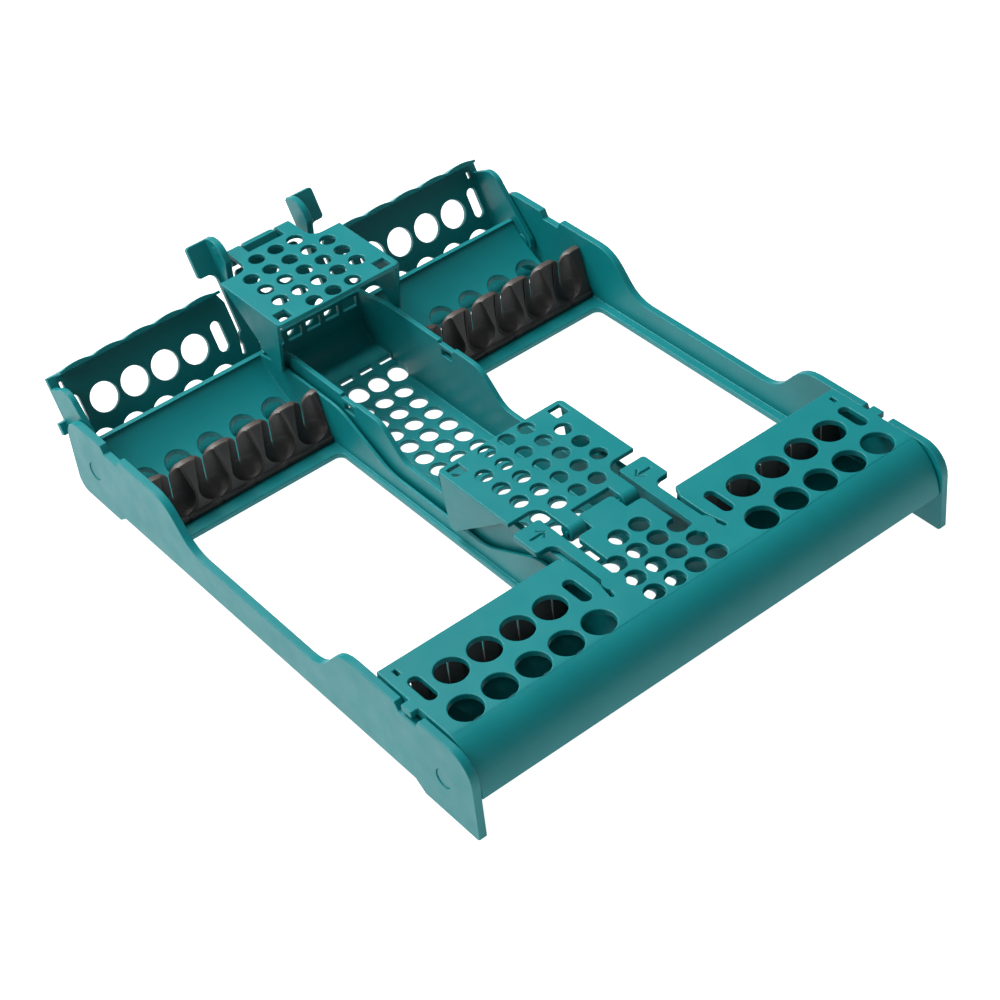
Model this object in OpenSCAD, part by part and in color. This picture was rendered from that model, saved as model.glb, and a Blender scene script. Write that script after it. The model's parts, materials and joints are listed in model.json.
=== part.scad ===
// Instrument cassette with two hinged covers, two trough lids, four
// silicone combs and four spring latch arms. Millimetres, ground at z = 0.
// X runs across the cassette, the closed cover faces -Y and the open one +Y.
// Every piece is drawn closed at the front, and placed by the modules below.

/* [Side walls] */
// overall length along Y, over the side walls
case_length = 203; // [160:1:260]
// overall width along X, over the side walls
case_width = 176.3; // [140:0.1:220]
// height of the side walls' top edge
wall_top = 28.9; // [22:0.1:40]
// thickness of a side wall
wall_t = 2.6; // [1.5:0.1:4]
// height of the low rail in the middle of a side wall
rail_top = 15.4; // [10:0.1:24]
// height of a side wall's lower edge between the feet
sill = 3; // [1:0.1:5]
// distance along Y at which the wall reaches its full height
wall_shoulder = 50.3; // [40:0.1:60]
// radius of the bends between rail and full height
wall_bend_r = 13; // [6:0.5:16]
// slope between those bends, in degrees
wall_slope = 49; // [30:1:70]
// radius of the wall's upper end corners
wall_corner_r = 9; // [4:0.5:14]
// radius of the wall's lower corner at the back
wall_heel_r = 4.7; // [1:0.1:8]
// bevel of the wall's lower corner at the front
wall_toe = 0.8; // [0.2:0.1:2]
// where a foot starts, along Y
foot_start = 78; // [60:0.5:85]
// length of the ramp in front of a foot
foot_ramp = 4; // [1:0.5:8]
// near edge of the notch for the cover's lug, along Y
lug_notch_near = 69.4; // [60:0.1:80]
// far edge of that notch
lug_notch_far = 79.6; // [70:0.1:88]
// depth of that notch
lug_notch_d = 2.6; // [1:0.1:5]
// run of the notch's sloping sides
lug_notch_slope = 1.4; // [0:0.1:3]

/* [Tray floor] */
// height of the bay floor's upper face
floor_top = 7; // [5:0.1:12]
// thickness of the bay floor
floor_t = 2; // [1:0.1:4]
// inner face of the bay's end wall, along Y
bay_end = 91.6; // [80:0.1:96]
// where the bay floor starts to curve up, along Y
rise_start = 62; // [61.5:0.1:75]
// inner radius of that curve
rise_r = 40; // [34:0.5:70]
// height of the bay's end wall
bay_end_top = 21; // [20.5:0.1:24]
// inner side of a window in the floor, along X
window_in = 23.5; // [22:0.1:30]
// distance from a window to the side wall
window_rim = 2.95; // [1:0.05:10]
// half the window's length, along Y
window_half = 48.5; // [30:0.1:52]
// corner radius of a window
window_r = 2.5; // [1:0.1:6]
// radius of the round holes behind the combs
bay_hole_r = 4.6; // [2:0.1:6]
// row of those holes, along Y
bay_hole_row = 76.8; // [70:0.1:80]
// room beside a cover's cheek
cheek_room = 0.3; // [0.2:0.05:1]
// where the floor is cut back for the cheeks, along Y
cheek_room_y = 77.5; // [70:0.1:88]

/* [Trough] */
// inner face of a trough wall, along X
trough_in = 18.2; // [14:0.1:22]
// outer face of a trough wall
trough_out = 20; // [15:0.1:24]
// height of the trough floor's upper face
trough_floor = 2.9; // [2:0.1:5]
// thickness of the trough floor and its end walls
trough_t = 1.6; // [1:0.1:3]
// where the trough floor starts to rise, along Y
ramp_start = 70; // [60:0.5:75]
// where it reaches the bay floor's height
ramp_end = 80.6; // [76:0.1:84]
// outer face of the trough's end wall, along Y
trough_end = 94.2; // [90:0.1:96]
// outer radius of the bend from the ramp to the end wall
end_bend_r = 9; // [5:0.5:12]
// height of that bend's centre
end_bend_z = 14; // [12:0.1:18]
// height of the trough walls at the latches
trough_wall_top = 27.3; // [20:0.1:28]
// height of the trough walls in the middle
trough_wall_low = 17.3; // [10:0.1:20]
// height of the trough walls at their ends
trough_wall_end = 24.3; // [18:0.1:26]
// where the trough walls reach full height, along Y
trough_shoulder = 32.3; // [20:0.1:40]
// where they start to fall again
trough_fall = 76; // [60:0.5:85]
// radius of the bends in the trough walls
trough_bend_r = 9; // [4:0.5:12]
// slope between those bends, in degrees
trough_slope = 42; // [20:1:60]
// radius of the trough's drain holes
drain_r = 3.07; // [1:0.01:3.6]
// spacing of the drain holes both ways
drain_pitch = 7.9; // [6:0.1:10]
// drain rows on each side of the middle one
drain_rows = 8; // [4:1:10]
// radius of the larger holes at the foot of the ramp
foot_hole_r = 3.4; // [2:0.1:4]
// row of those holes, along Y
foot_hole_row = 71.6; // [66:0.1:76]
// row of the slits in the ramp, along Y
slit_row = 78; // [74:0.1:82]
// width of a slit along Y
slit_w = 1.6; // [0.6:0.1:3]
// length of a slit along X
slit_l = 5; // [3:0.1:7]
// spacing of the windows in the end wall
end_window_pitch = 7.3; // [6:0.1:9]
// width of such a window
end_window_w = 5.5; // [3:0.1:7]
// lower edge of those windows
end_window_low = 19.3; // [16:0.1:22]
// upper edge of those windows
end_window_high = 23.1; // [20:0.1:24]
// inner face of the low outer wall, along X
rib_in = 20.9; // [20:0.1:24]
// outer face of the low outer wall
rib_out = 22; // [21:0.1:25]
// height of that wall at the combs
rib_top = 23.3; // [14:0.1:26]
// height of that wall in the middle
rib_low = 11.8; // [8:0.1:16]
// where it reaches full height, along Y
rib_shoulder = 52.5; // [40:0.1:60]
// where it starts to fall again
rib_fall = 79.9; // [70:0.1:84]
// radius of its bends
rib_bend_r = 20; // [6:0.5:24]
// slope between those bends, in degrees
rib_slope = 25; // [10:1:50]
// near end of the latch notch in a trough wall, along Y
catch_near = 41.5; // [36:0.1:46]
// far end of that notch
catch_far = 49; // [46:0.1:56]
// depth of that notch
catch_d = 1; // [0.4:0.1:2]
// lower edge of the slot under the notch
catch_low = 22.1; // [16:0.1:24]
// upper edge of that slot
catch_high = 24.9; // [20:0.1:26]
// how much shorter than the notch the slot is, each end
catch_inset = 1.2; // [0:0.1:3]

/* [Combs] */
// near face of a comb at its foot, along Y
comb_face = 54.2; // [52:0.1:56]
// back of a comb
comb_back = 61.1; // [58:0.1:61.2]
// how far the near face leans back, in degrees
comb_lean = 15.4; // [0:0.1:18]
// how far the base strip stands out in front
comb_lip = 0.5; // [0:0.1:2]
// height of the base strip
comb_strip_h = 2; // [1:0.1:4]
// gap between a comb and the low outer wall of the trough
comb_gap_in = 0.3; // [0.1:0.1:4]
// gap between a comb and the side wall
comb_gap_out = 0.65; // [0.1:0.05:4]
// top of the lobes
comb_top = 24.4; // [20:0.1:26]
// radius of the lobes
lobe_r = 6.3; // [6.2:0.1:12]
// first slit of a comb, along X
slit_first = 27.8; // [26:0.1:34]
// spacing of the slits
slit_pitch = 12.3; // [8:0.1:12.3]
// width of a slit at its top
slit_top_w = 0.8; // [0.4:0.1:3]
// width of a slit at its foot
slit_foot_w = 0.4; // [0.2:0.1:1]
// foot of a slit
slit_foot = 11.6; // [9:0.1:18]
// radius of a cup in a comb's face
cup_r = 4.7; // [2:0.1:5.1]
// radius of the cup's upper taper at the top
cup_top_r = 3.8; // [3.4:0.1:4.4]
// height of a cup's centre
cup_z = 13.4; // [12:0.1:15]

/* [Cover] */
// hinge axis of a cover, along Y
pivot_y = 88; // [80:0.1:94]
// height of that axis
pivot_z = 13.8; // [10:0.1:18]
// how far the cover stands open in the photograph, in degrees
cover_open = 118; // [60:1:118]
// gap between a cover and the side wall
cover_gap = 0.35; // [0.2:0.05:1]
// upper face of the closed cover
cover_top = 29.6; // [26:0.1:32]
// thickness of the cover
cover_t = 2; // [1:0.1:3]
// reach of the rolled end from the hinge axis, along Y
roll_reach = 13; // [11:0.1:13.4]
// free edge of the cover, along Y
cover_edge = 57.8; // [54:0.1:62]
// thickness of the cheeks
cheek_t = 2; // [1:0.1:3]
// inner end of a cheek, along Y
cheek_end = 61.6; // [61.5:0.1:70]
// radius of that end's lower corner
cheek_corner_r = 6; // [2:0.1:8]
// radius of the cheek around the hinge pin
cheek_boss_r = 5; // [4.2:0.1:6]
// depth of the flange under the free edge
lip_depth = 6.5; // [3:0.1:7]
// how far that flange flares towards the middle
lip_flare = 1.2; // [1:0.1:3]
// thickness of that flange
lip_t = 1; // [0.8:0.1:1.2]
// inner end of that flange, along X
lip_in = 22.6; // [22.4:0.1:30]
// gap between the flange and the cheek, along X
lip_gap = 0.8; // [0.4:0.1:3]
// radius of the scallops along the flange
scallop_r = 19; // [12:0.5:40]
// how far the scallops stand out
scallop_d = 0.8; // [0.2:0.1:1.2]
// width of the gap between cheek and flange, along Y
corner_gap = 2.4; // [1:0.1:4]
// near edge of the side lug, along Y
lug_near = 72; // [66:0.1:76]
// far edge of the side lug
lug_far = 76.3; // [72:0.1:80]
// how far the lug ends inside the side wall's outer face
lug_room = 0.35; // [0.1:0.05:1]

/* [Cover holes] */
// radius of the large holes
big_r = 4.93; // [2:0.01:5.2]
// spacing of the large holes
big_pitch = 11.456; // [10.8:0.001:14]
// inner edge of each block of holes, along X
block_in = 21; // [20:0.1:30]
// row with four large holes, along Y
row_four = 71.3; // [68:0.1:74]
// row with five large holes
row_five = 84.9; // [82:0.1:86]
// distance from the last large hole to a slot, along X
slot_step = 9.57; // [8:0.01:12]
// length of the slots
slot_l = 10.5; // [6:0.1:12]
// width of the slots
slot_w = 3.8; // [2:0.1:5]
// radius of the small holes
small_r = 3.07; // [1:0.01:3.6]
// spacing of the small holes across
small_pitch = 7.66; // [6.4:0.01:9]
// rows of four small holes, along Y
rows_small_four = [86.3, 78.5];
// rows of two small holes
rows_small_two = [70.6, 62.8];

/* [Centre plate] */
// half the width of the centre plate
centre_half = 12.3; // [10:0.1:14]
// shoulders of the centre plate, along Y
centre_edge = 54.5; // [52:0.1:56]
// corner radius of those shoulders
centre_r = 1.6; // [0.2:0.1:4]
// half the width of the tongue
tongue_half = 6.5; // [4:0.1:8]
// end of the tongue, along Y
tongue_end = 47.7; // [45:0.1:49]
// corner radius of the tongue
tongue_r = 1.5; // [0.2:0.1:3]
// depth of the knuckle under the tongue
knuckle_depth = 3.2; // [2.4:0.1:5]
// half the knuckle's length along Y
knuckle_half = 2.2; // [1.4:0.1:2.7]
// outer side of the arm's channel, along X
channel_out = 20; // [19:0.1:21]
// outer side where it flares at the free edge
channel_flare = 21.9; // [20:0.1:22.4]
// where the flare ends, along Y
channel_flare_end = 62; // [58:0.1:66]
// end of the channel, along Y
channel_end = 73.2; // [70:0.1:75]
// hole at the end of the inner slot, along X
relief_x = 11.4; // [10:0.1:13]
// far end of the curved outer slot, along X
tail_x = 20.8; // [20:0.1:22]
// far end of the curved outer slot, along Y
tail_y = 79.5; // [76:0.1:82]
// width of that slot
tail_w = 1.2; // [0.6:0.1:2]

/* [Latch arms] */
// inner side of an arm, along X
arm_in = 14.9; // [13:0.1:16]
// outer side of an arm
arm_out = 18.7; // [17:0.1:19]
// middle of the arm's flexing root, along Y
root_y = 75.5; // [72:0.1:80]
// radius of the root
root_r = 3.4; // [2:0.1:4]
// room around the root
root_play = 0.08; // [0.02:0.01:0.3]
// free end of an arm, along Y
tab_near = 41; // [38:0.1:44]
// far end of its finger tab
tab_far = 52; // [48:0.1:53]
// outer end of the finger tab, along X
tab_out = 24.8; // [22:0.1:26]
// radius of the fillet between tab and arm
tab_fillet = 3; // [1:0.1:4]
// teeth on a finger tab
teeth = 4; // [3:1:6]
// radius of a tooth
tooth_r = 1.2; // [0.6:0.1:2]
// depth of the engraved arrow
arrow_d = 0.4; // [0.1:0.1:1]
// length of the engraved arrow
arrow_l = 5.4; // [3:0.1:7]
// width of the engraved line
arrow_line = 0.6; // [0.3:0.1:1]
// length of the two strokes of the arrow's head
arrow_head = 3; // [1.5:0.1:4]
// outer face of the web under the arm, along X
web_out = 17.3; // [16.4:0.1:17.8]
// corner radius of the web at its free end
web_r = 7; // [1:0.1:7]
// lowest point of the web
web_low = 20.4; // [16:0.1:24]
// end of the web's deep part, along Y
web_deep_end = 50; // [46:0.1:56]
// end of the web, along Y
web_end = 69; // [60:0.1:70]
// outer end of the latch hook, along X
hook_out = 17.9; // [17.5:0.1:18]
// how far an arm flexes, in degrees
arm_flex = 3.6; // [1:0.1:5]

/* [Lids] */
// half the width of a lid
lid_half = 23.7; // [22:0.1:24]
// free edge of a lid, along Y
lid_free = 4.9; // [2:0.1:8]
// near edge of a lid at its corners
lid_near = 38.1; // [34:0.1:39]
// near edge of a lid's middle, where its ears part
ear_part = 46; // [44:0.1:47]
// upper face of a closed lid
lid_top = 31.1; // [30:0.1:34]
// thickness of a lid
lid_t = 1.6; // [1:0.1:3]
// corner radius of a lid's free edge
lid_corner_r = 2; // [0.5:0.1:4]
// outer side of an ear, along X
ear_out = 12.6; // [10:0.1:13]
// gap between ear and tongue
ear_gap = 0.5; // [0.2:0.1:1]
// radius of the hollow between ear and lid corner
ear_hollow_r = 3.9; // [1:0.1:6]
// hinge axis of a lid, along Y
lid_axis_y = 50.5; // [49:0.1:52]
// radius of the ears around that axis
ear_r = 2.7; // [2:0.1:3]
// thickness of a lid's side wall
lid_wall_t = 1.2; // [0.8:0.1:1.2]
// lowest point of the side wall, along Y
lid_wall_low_y = 9.9; // [6:0.1:14]
// height of that lowest point
lid_wall_low = 10.8; // [9:0.1:20]
// where the side wall runs out, along Y
lid_wall_end = 35.5; // [30:0.1:38]
// rounding of the side wall's lowest point
lid_wall_r = 2; // [0.5:0.1:4]
// radius of the lid's holes
lid_hole_r = 2.67; // [1:0.01:3.2]
// spacing of the lid's holes across
lid_hole_pitch = 7.5; // [6.4:0.1:9]
// first row of holes, along Y
lid_row_first = 8.5; // [8:0.1:12]
// spacing of the rows
lid_row_pitch = 8.03; // [7:0.01:9]
// rows of holes
lid_rows = 5; // [3:1:5]
// width of the square holes at the lid's corners
lid_square = 4.5; // [2:0.1:5]
// middle of the square holes, along X
lid_square_x = 19.3; // [18:0.1:20]
// middle of the square holes, along Y
lid_square_y = 9.1; // [8:0.1:12]

/* [Pins] */
// radius of a cover's hinge pin
cover_pin_r = 3.1; // [2:0.01:4]
// how far the pin's end lies inside the side wall's outer face
pin_recess = 0.3; // [0:0.05:1]
// radius of a lid's hinge pin
lid_pin_r = 0.8; // [0.5:0.01:1]
// length of a lid's hinge pin
lid_pin_l = 7.2; // [4:0.1:8]
// room around a pin in the piece that turns on it
pin_play = 0.05; // [0.01:0.01:0.1]
// how much larger a pin is than the hole that grips it
pin_grip = 0.02; // [0.01:0.01:0.05]

/* [Hidden] */
$fn = 48;

teal = [0.12, 0.50, 0.51];
teal_light = [0.16, 0.55, 0.55];
charcoal = [0.23, 0.22, 0.22];

// overshoot of a cut beyond the faces that it passes through
cut = 1;
// points along a quarter of a curve
arc_n = 8;
// points along the rolled end and the floor's rise
roll_n = 20;

half_length = case_length / 2;
half_width = case_width / 2;
wall_in = half_width - wall_t;
window_out = wall_in - window_rim;
cover_half = wall_in - cover_gap;
cover_under = cover_top - cover_t;
roll_rise = cover_top - pivot_z;
cheek_in = cover_half - cheek_t;
cover_pin_in = cheek_in - cheek_room;
lip_out = cheek_in - lip_gap;
lug_out = half_width - lug_room;
arm_mid = (arm_in + arm_out) / 2;
comb_in = rib_out + comb_gap_in;
comb_out = wall_in - comb_gap_out;
slits = floor((comb_out - slit_first) / slit_pitch) + 1;
lid_axis_z = lid_top - ear_r;
ear_in = tongue_half + ear_gap;
knuckle_z = cover_top - knuckle_depth;
lid_pin_in = (ear_in + ear_out - lid_pin_l) / 2 - ear_gap;

// a block of holes fills the width of its half of the cover
block_mid = (block_in + cover_half) / 2;
in_row_five = floor((cover_half - block_in) / big_pitch);
slot_off = (in_row_five / 2 - 1) * big_pitch + slot_step;

// the open lid's axis, found by turning the closed one about the cover's axis
open_axis_y = pivot_y + (lid_axis_y - pivot_y) * cos(cover_open)
    + (lid_axis_z - pivot_z) * sin(cover_open);
open_axis_z = pivot_z - (lid_axis_y - pivot_y) * sin(cover_open)
    + (lid_axis_z - pivot_z) * cos(cover_open);

// the rearmost point is the upper corner of the open cover's finger tabs
rear_reach = pivot_y + (tab_near - pivot_y) * cos(cover_open)
    + (cover_top - pivot_z) * sin(cover_open);
// the frame's origin is the middle of the whole part's outline on the ground
frame_shift = (half_length - rear_reach) / 2;

// points along an arc about [y, z], from angle a to angle b in n steps
function arc(y, z, r, a, b, n = arc_n) =
    [for (i = [0 : n]) [y + r * cos(a + (b - a) * i / n), z + r * sin(a + (b - a) * i / n)]];

// points along the quarter of an ellipse from its front to its top
function quarter(ry, rz, a, b) =
    [for (i = [0 : roll_n]) [
        pivot_y + ry * cos(a + (b - a) * i / roll_n),
        pivot_z + rz * sin(a + (b - a) * i / roll_n)
    ]];

// the rise of the bay floor from its start to y = end, at radius r
function rise(end, r) =
    arc(rise_start, floor_top + rise_r, r, 270, 270 + asin((end - rise_start) / r), roll_n);

function reversed(points) =
    [for (i = [len(points) - 1 : -1 : 0]) points[i]];

// a double bend that falls from [y, high] towards the middle, down to low
function fall(y, high, low, r, slope) =
    let (straight = (high - low - 2 * r * (1 - cos(slope))) / tan(slope))
    let (foot = y - straight - 2 * r * sin(slope))
    concat(
        arc(y, high - r, r, 90, 90 + slope, arc_n / 2),
        arc(foot, low + r, r, 270 + slope, 270, arc_n / 2)
    );

// both halves of an outline given for the back half only
function mirrored(points) =
    concat(points, reversed([for (p = points) [-p[0], p[1]]]));

// the half of a side wall's outline above the ground, from the end to the middle
function wall_upper() = concat(
    arc(half_length - wall_corner_r, wall_top - wall_corner_r, wall_corner_r, 0, 90),
    [
        [lug_notch_far, wall_top],
        [lug_notch_far - lug_notch_slope, wall_top - lug_notch_d],
        [lug_notch_near + lug_notch_slope, wall_top - lug_notch_d],
        [lug_notch_near, wall_top]
    ],
    fall(wall_shoulder, wall_top, rail_top, wall_bend_r, wall_slope)
);

module both_sides() {
    children();
    mirror([1, 0, 0])
        children();
}

module both_ends() {
    children();
    mirror([0, 1, 0])
        children();
}

// an outline drawn in Y and Z, drawn out along X
module across(from, to) {
    translate([from, 0, 0])
        rotate([90, 0, 90])
            linear_extrude(height = to - from)
                children();
}

module rounded(w, d, r) {
    square([w - 2 * r, d], center = true);
    square([w, d - 2 * r], center = true);
    for (x = [-1, 1])
        for (y = [-1, 1])
            translate([x * (w / 2 - r), y * (d / 2 - r)])
                circle(r = r);
}

module slot(l, w) {
    square([w, l - w], center = true);
    for (y = [-1, 1])
        translate([0, y * (l - w) / 2])
            circle(r = w / 2);
}

// tray

module side_wall() {
    across(wall_in, half_width)
        polygon(concat(
            [
                [-foot_start + foot_ramp, sill],
                [foot_start - foot_ramp, sill],
                [foot_start, 0]
            ],
            arc(half_length - wall_heel_r, wall_heel_r, wall_heel_r, 270, 360),
            mirrored(wall_upper()),
            [
                [-half_length, wall_toe],
                [-half_length + wall_toe, 0],
                [-foot_start, 0]
            ]
        ));
}

module bay_outline() {
    polygon(mirrored(concat(
        [[0, floor_top - floor_t]],
        rise(bay_end + floor_t, rise_r + floor_t),
        [[bay_end + floor_t, bay_end_top]],
        [[bay_end, bay_end_top]],
        reversed(rise(bay_end, rise_r)),
        [[0, floor_top]]
    )));
}

module trough_under() {
    polygon(mirrored(concat(
        [[0, trough_floor - trough_t]],
        [[ramp_start, trough_floor - trough_t]],
        [[ramp_end, end_bend_z - end_bend_r]],
        arc(trough_end - end_bend_r, end_bend_z, end_bend_r, 270, 360),
        [[trough_end, trough_wall_end]],
        [[trough_fall, trough_wall_top]],
        fall(trough_shoulder, trough_wall_top, trough_wall_low, trough_bend_r, trough_slope)
    )));
}

module trough_room() {
    polygon(mirrored(concat(
        [[0, trough_floor]],
        [[ramp_start, trough_floor]],
        [[ramp_end, end_bend_z - end_bend_r + trough_t]],
        arc(trough_end - end_bend_r, end_bend_z, end_bend_r - trough_t, 270, 360),
        [[trough_end - trough_t, cover_top]],
        [[0, cover_top]]
    )));
}

module rib_outline() {
    polygon(mirrored(concat(
        [[0, floor_top - floor_t / 2]],
        rise(bay_end, rise_r + floor_t / 2),
        [[bay_end, bay_end_top]],
        [[rib_fall, rib_top]],
        fall(rib_shoulder, rib_top, rib_low, rib_bend_r, rib_slope)
    )));
}

module bay_floor() {
    window_mid = (window_in + window_out) / 2;
    difference() {
        across(trough_in, wall_in + wall_t / 2)
            bay_outline();
        translate([window_mid, 0, 0])
            linear_extrude(height = cover_top)
                rounded(window_out - window_in, 2 * window_half, window_r);
        both_ends() {
            translate([cheek_in - cheek_room, cheek_room_y, 0])
                cube([half_width, half_length, cover_top]);
            for (i = [0 : slits - 1])
                translate([slit_first + i * slit_pitch, bay_hole_row, 0])
                    cylinder(h = cover_top, r = bay_hole_r);
        }
    }
}

module trough() {
    difference() {
        across(-trough_out, trough_out)
            trough_under();
        across(-trough_in, trough_in)
            trough_room();
        trough_holes();
        both_sides()
            both_ends()
                catch_cut();
    }
    both_sides()
        across(rib_in, rib_out)
            rib_outline();
}

module trough_holes() {
    for (x = [-1.5 : 1 : 1.5])
        for (y = [-drain_rows : drain_rows])
            translate([x * drain_pitch, y * drain_pitch, -cut])
                cylinder(h = trough_floor + 2 * cut, r = drain_r);
    both_ends()
        for (x = [-2 : 2]) {
            translate([x * drain_pitch, foot_hole_row, -cut])
                cylinder(h = floor_top + cut, r = foot_hole_r);
            translate([x * drain_pitch - slit_l / 2, slit_row - slit_w / 2, 0])
                cube([slit_l, slit_w, floor_top + cut]);
            translate([
                x * end_window_pitch - end_window_w / 2,
                trough_end - trough_t - cut,
                end_window_low
            ])
                cube([end_window_w, trough_t + 2 * cut, end_window_high - end_window_low]);
        }
}

module catch_cut() {
    translate([trough_in - cut, catch_near, trough_wall_top - catch_d])
        cube([trough_out - trough_in + 2 * cut, catch_far - catch_near, catch_d + cut]);
    translate([trough_in - cut, catch_near + catch_inset, catch_low])
        cube([
            trough_out - trough_in + 2 * cut,
            catch_far - catch_near - 2 * catch_inset,
            catch_high - catch_low
        ]);
}

module tray() {
    color(teal)
        difference() {
            union() {
                trough();
                both_sides() {
                    side_wall();
                    bay_floor();
                }
            }
            both_sides()
                both_ends()
                    translate([wall_in - cut, pivot_y, pivot_z])
                        rotate([0, 90, 0])
                            cylinder(h = wall_t + 2 * cut, r = cover_pin_r - pin_grip);
        }
}

// silicone comb, drawn at the back on the right-hand side

module comb_front() {
    last = slit_first + (slits - 1) * slit_pitch;
    lobe_z = comb_top - lobe_r;
    difference() {
        union() {
            translate([comb_in, floor_top])
                square([comb_out - comb_in, lobe_z - floor_top]);
            intersection() {
                translate([comb_in, lobe_z - cut])
                    square([comb_out - comb_in, lobe_r + 2 * cut]);
                for (i = [0 : slits])
                    intersection() {
                        translate([slit_first + (i - 1 / 2) * slit_pitch, lobe_z])
                            circle(r = lobe_r);
                        translate([slit_first + (i - 1) * slit_pitch, lobe_z - cut])
                            square([slit_pitch, lobe_r + 2 * cut]);
                    }
            }
        }
        for (x = [slit_first : slit_pitch : last + cut])
            polygon([
                [x - slit_foot_w / 2, slit_foot],
                [x + slit_foot_w / 2, slit_foot],
                [x + slit_top_w / 2, comb_top],
                [x - slit_top_w / 2, comb_top]
            ]);
    }
}

// the near face's place along Y at height z
function lean_y(z) = comb_face + (z - floor_top) * tan(comb_lean);

module comb_side() {
    strip_z = floor_top + comb_strip_h;
    polygon([
        [comb_face - comb_lip, floor_top],
        [comb_back, floor_top],
        [comb_back, comb_top],
        [lean_y(comb_top), comb_top],
        [lean_y(strip_z), strip_z],
        [comb_face - comb_lip, strip_z]
    ]);
}

// a cup narrows upwards from its middle, and downwards in two steps to a flat foot
module cup() {
    step = cup_r * 3 / 5;
    translate([0, lean_y(cup_z), cup_z]) {
        translate([0, 0, -cup_r])
            cylinder(h = cup_r - step, r1 = cup_r / 3, r2 = cup_r * 4 / 5);
        translate([0, 0, -step])
            cylinder(h = step, r1 = cup_r * 4 / 5, r2 = cup_r);
        cylinder(h = comb_top + cut - cup_z, r1 = cup_r, r2 = cup_top_r);
    }
}

module comb() {
    color(charcoal)
        difference() {
            intersection() {
                translate([0, comb_back + cut, 0])
                    rotate([90, 0, 0])
                        linear_extrude(height = comb_back - comb_face + comb_lip + 2 * cut)
                            comb_front();
                across(comb_in, comb_out)
                    comb_side();
            }
            for (i = [0 : slits - 1])
                translate([slit_first + i * slit_pitch, 0, 0])
                    cup();
        }
}

// cover, drawn closed at the back

module cover_plan() {
    translate([-cover_half, cover_edge])
        square([2 * cover_half, pivot_y - cover_edge]);
    translate([0, (centre_edge + pivot_y) / 2])
        rounded(2 * centre_half, pivot_y - centre_edge, centre_r);
    translate([0, (tongue_end + pivot_y) / 2])
        rounded(2 * tongue_half, pivot_y - tongue_end, tongue_r);
}

module cover_cuts() {
    polygon([
        [centre_half, cover_edge - cut],
        [channel_flare, cover_edge - cut],
        [channel_flare, cover_edge],
        [channel_out, channel_flare_end],
        [channel_out, channel_end],
        [centre_half, channel_end]
    ]);
    translate([arm_mid, root_y])
        circle(r = root_r + root_play);
    translate([relief_x, rows_small_two[0]])
        circle(r = small_r);
    polygon([
        [channel_out - tail_w, channel_end - cut],
        [channel_out, channel_end - cut],
        [tail_x + tail_w / 2, tail_y],
        [tail_x - tail_w / 2, tail_y]
    ]);
    translate([tail_x, tail_y])
        circle(r = tail_w / 2);
    for (i = [0 : in_row_five - 1])
        translate([block_mid + (i - (in_row_five - 1) / 2) * big_pitch, row_five])
            circle(r = big_r);
    for (i = [1 : in_row_five - 1])
        translate([block_mid + (i - in_row_five / 2) * big_pitch, row_four])
            circle(r = big_r);
    for (side = [-1, 1])
        translate([block_mid + side * slot_off, row_four])
            slot(slot_l, slot_w);
    for (y = rows_small_four)
        for (x = [1 / 2, 3 / 2])
            translate([x * small_pitch, y])
                circle(r = small_r);
    for (y = rows_small_two)
        translate([small_pitch / 2, y])
            circle(r = small_r);
}

// the rolled end, a quarter of a shell about the hinge axis
module roll() {
    across(-cover_half, cover_half)
        polygon(concat(
            quarter(roll_reach, roll_rise, 0, 90),
            quarter(roll_reach - cover_t, roll_rise - cover_t, 90, 0)
        ));
}

module cheek() {
    across(cheek_in, cover_half)
        polygon(concat(
            quarter(roll_reach, roll_rise, 0, 90),
            [[cheek_end, cover_top]],
            arc(cheek_end + cheek_corner_r, pivot_z + cheek_corner_r, cheek_corner_r, 180, 270),
            arc(pivot_y, pivot_z, cheek_boss_r, 260, 360)
        ));
}

// the flange's cross-section, with its near face moved out by d
module lip_outline(d) {
    low = cover_under - lip_depth;
    polygon([
        [cover_edge - d, cover_under],
        [cover_edge - lip_flare - d, low],
        [cover_edge - lip_flare + lip_t, low],
        [cover_edge + lip_t, cover_under],
        [cover_edge + lip_t, cover_under + cover_t / 2],
        [cover_edge, cover_under + cover_t / 2]
    ]);
}

module lip() {
    slant = atan(lip_flare / lip_depth);
    across(lip_in, lip_out)
        lip_outline(0);
    for (i = [0 : in_row_five - 1]) {
        mid = block_mid + (i - (in_row_five - 1) / 2) * big_pitch;
        intersection() {
            across(mid - big_pitch / 2, mid + big_pitch / 2)
                lip_outline(scallop_d);
            translate([mid, cover_edge - scallop_d, cover_under])
                rotate([-slant, 0, 0])
                    translate([0, scallop_r, -2 * lip_depth])
                        cylinder(h = 3 * lip_depth, r = scallop_r);
        }
    }
}

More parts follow.
